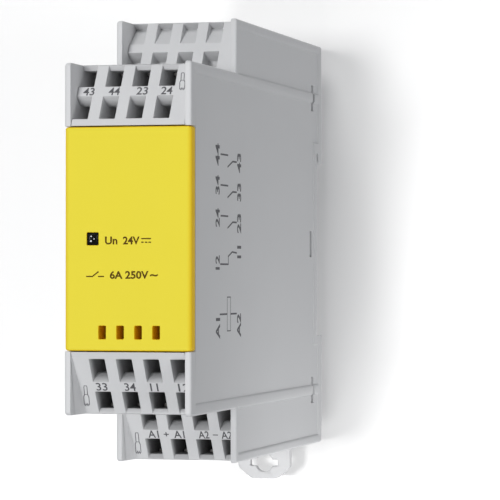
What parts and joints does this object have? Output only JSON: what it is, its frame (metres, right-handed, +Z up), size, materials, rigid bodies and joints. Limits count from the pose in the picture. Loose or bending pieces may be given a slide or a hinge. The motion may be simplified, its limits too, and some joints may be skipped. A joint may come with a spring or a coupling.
{
  "type": "force-guided relay",
  "caption": "Slim stepped rail-mount relay module: yellow front, sloping push-in terminal faces, sliding rail clip and a force-guided relay inside.",
  "frame": {"origin": "centre of the rail seat, on the plane that the rail's flanges bear on", "axes": "+Y from the front towards the rail, +Z up along the module's height, +X across its width"},
  "size_m": [0.0226, 0.098, 0.0872],
  "materials": {
    "housing_grey": "fine matte moulded light grey",
    "cover_yellow": "satin moulded yellow",
    "clip_grey": "satin moulded pale grey",
    "spring_steel": "bright spring steel",
    "tinned_copper": "bright tin plate",
    "lens_smoke": "dark clear plastic",
    "board_green": "green solder mask",
    "led_clear": "clear moulded",
    "chip_black": "black moulded",
    "relay_white": "translucent moulded",
    "relay_black": "black moulded",
    "coil_wire": "enamelled copper wire",
    "magnet_iron": "plated soft iron",
    "comb_white": "ivory moulded",
    "contact_alloy": "copper alloy strip"
  },
  "bodies": {
    "module": {"bottom_front_terminal_block": "housing_grey", "bottom_rear_terminal_block": "housing_grey", "circuit_board": "board_green", "coil_bobbin": "relay_black", "coil_core": "magnet_iron", "coil_pins": "tinned_copper", "coil_winding": "coil_wire", "current_bar_11": "tinned_copper", "current_bar_12": "tinned_copper", "current_bar_23": "tinned_copper", "current_bar_24": "tinned_copper", "current_bar_33": "tinned_copper", "current_bar_34": "tinned_copper", "current_bar_43": "tinned_copper", "current_bar_44": "tinned_copper", "current_bar_a1_left": "tinned_copper", "current_bar_a1_right": "tinned_copper", "current_bar_a2_left": "tinned_copper", "current_bar_a2_right": "tinned_copper", "diode": "chip_black", "fixed_contact_12": "contact_alloy", "fixed_contact_24": "contact_alloy", "fixed_contact_34": "contact_alloy", "fixed_contact_44": "contact_alloy", "front_cover": "cover_yellow", "housing_body": "housing_grey", "led": "led_clear", "light_guide": "lens_smoke", "rail_clip_spring": "spring_steel", "relay_base": "relay_black", "relay_cap": "relay_white", "resistor": "chip_black", "side_cover": "housing_grey", "terminal_spring_11": "spring_steel", "terminal_spring_12": "spring_steel", "terminal_spring_23": "spring_steel", "terminal_spring_24": "spring_steel", "terminal_spring_33": "spring_steel", "terminal_spring_34": "spring_steel", "terminal_spring_43": "spring_steel", "terminal_spring_44": "spring_steel", "terminal_spring_a1_left": "spring_steel", "terminal_spring_a1_right": "spring_steel", "terminal_spring_a2_left": "spring_steel", "terminal_spring_a2_right": "spring_steel", "top_front_terminal_block": "housing_grey", "top_rear_terminal_block": "housing_grey", "yoke": "magnet_iron"},
    "rail_clip": {"rail_clip": "clip_grey"},
    "armature": {"armature": "magnet_iron"},
    "actuator_comb": {"actuator_comb": "comb_white"},
    "moving_contact_23": {"moving_contact_23": "contact_alloy"},
    "moving_contact_33": {"moving_contact_33": "contact_alloy"},
    "moving_contact_43": {"moving_contact_43": "contact_alloy"},
    "moving_contact_11": {"moving_contact_11": "contact_alloy"}
  },
  "joints": [
    {"name": "rail_clip_slide", "type": "slide", "parent": "module", "child": "rail_clip", "axis": [0, 0, -1], "range_m": [0, 0.0035], "stiffness_N_per_m": 1500, "deforming": ["rail_clip_spring"]},
    {"name": "armature_tilt", "type": "hinge", "parent": "module", "child": "armature", "pos_m": [0, -0.06615, -0.0003], "axis": [-1, 0, 0], "range_deg": [0, 3.3], "stiffness_Nm_per_rad": 0.2},
    {"name": "comb_slide", "type": "slide", "parent": "module", "child": "actuator_comb", "axis": [0, 0, -1], "range_m": [0, 0.00112]},
    {"name": "moving_contact_23_swing", "type": "hinge", "parent": "module", "child": "moving_contact_23", "pos_m": [0, -0.0676, 0.0044], "axis": [-1, 0, 0], "range_deg": [0, 3.07]},
    {"name": "moving_contact_33_swing", "type": "hinge", "parent": "module", "child": "moving_contact_33", "pos_m": [0, -0.0676, 0.0086], "axis": [-1, 0, 0], "range_deg": [0, 3.07]},
    {"name": "moving_contact_43_swing", "type": "hinge", "parent": "module", "child": "moving_contact_43", "pos_m": [0, -0.0676, 0.0128], "axis": [-1, 0, 0], "range_deg": [0, 3.07]},
    {"name": "moving_contact_11_swing", "type": "hinge", "parent": "module", "child": "moving_contact_11", "pos_m": [0, -0.0676, 0.017], "axis": [-1, 0, 0], "range_deg": [0, 3.07]}
  ],
  "couplings": [
    {"joint": "comb_slide", "follows": "armature_tilt", "m_per_rad": 0.01945},
    {"joint": "moving_contact_23_swing", "follows": "armature_tilt", "ratio": 0.93062},
    {"joint": "moving_contact_33_swing", "follows": "armature_tilt", "ratio": 0.93062},
    {"joint": "moving_contact_43_swing", "follows": "armature_tilt", "ratio": 0.93062},
    {"joint": "moving_contact_11_swing", "follows": "armature_tilt", "ratio": 0.93062}
  ]
}
